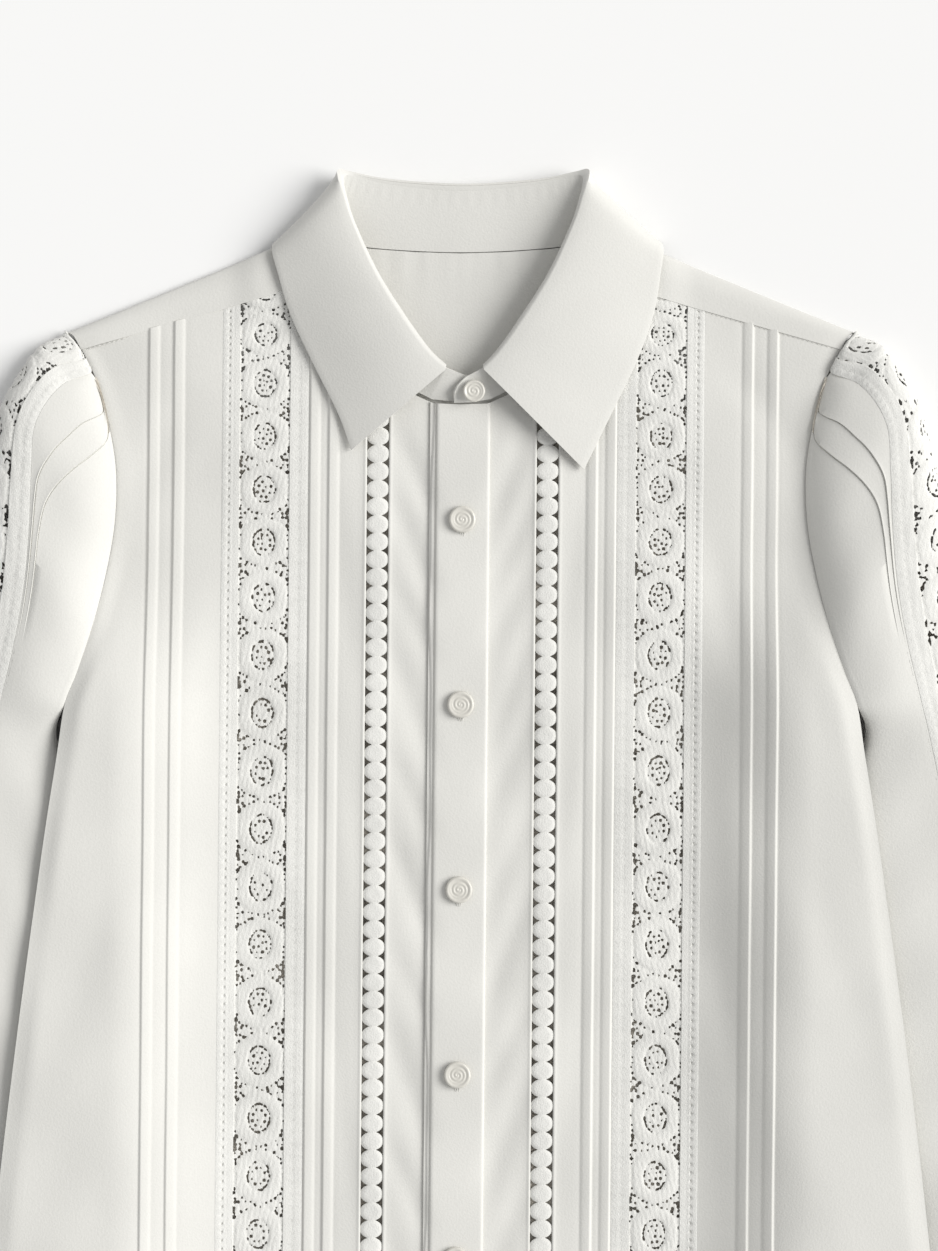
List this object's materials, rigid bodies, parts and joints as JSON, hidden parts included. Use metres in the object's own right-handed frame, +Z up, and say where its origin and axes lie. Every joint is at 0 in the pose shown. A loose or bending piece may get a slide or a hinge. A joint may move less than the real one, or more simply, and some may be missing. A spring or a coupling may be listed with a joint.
{
  "type": "lace blouse laid flat",
  "caption": "Long-sleeved white cotton blouse with a shirt collar, lace bands, ladder trims and tucks, laid flat, face up, sleeves down beside the body.",
  "frame": {"origin": "middle of the box's underside, on the surface that the blouse lies on", "axes": "+Y from the hem to the collar, +X towards the wearer's left sleeve (the picture's right), +Z up from the surface"},
  "size_m": [0.6958, 0.722, 0.0251],
  "materials": {
    "cotton": "soft plain-woven cotton, matte",
    "lace": "corded cotton lace, matte",
    "button": "pearly, satin gloss"
  },
  "bodies": {
    "root": {"back": "cotton", "yoke": "cotton", "collar_stand": "cotton", "collar_leaf": "cotton", "placket": "cotton", "front_side_left": "cotton", "front_middle_left": "cotton", "front_inner_left": "cotton", "sleeve_front_left": "cotton", "sleeve_front_edge_left": "cotton", "sleeve_back_left": "cotton", "sleeve_back_edge_left": "cotton", "cuff_left": "cotton", "front_side_right": "cotton", "front_middle_right": "cotton", "front_inner_right": "cotton", "sleeve_front_right": "cotton", "sleeve_front_edge_right": "cotton", "sleeve_back_right": "cotton", "sleeve_back_edge_right": "cotton", "cuff_right": "cotton", "front_lace_left": "lace", "disc_trim_left": "lace", "sleeve_lace_left": "lace", "front_lace_right": "lace", "disc_trim_right": "lace", "sleeve_lace_right": "lace", "button_1": "button", "button_2": "button", "button_3": "button", "button_4": "button", "button_5": "button", "button_6": "button", "button_collar": "button", "button_cuff_left": "button", "button_cuff_right": "button"}
  },
  "joints": []
}
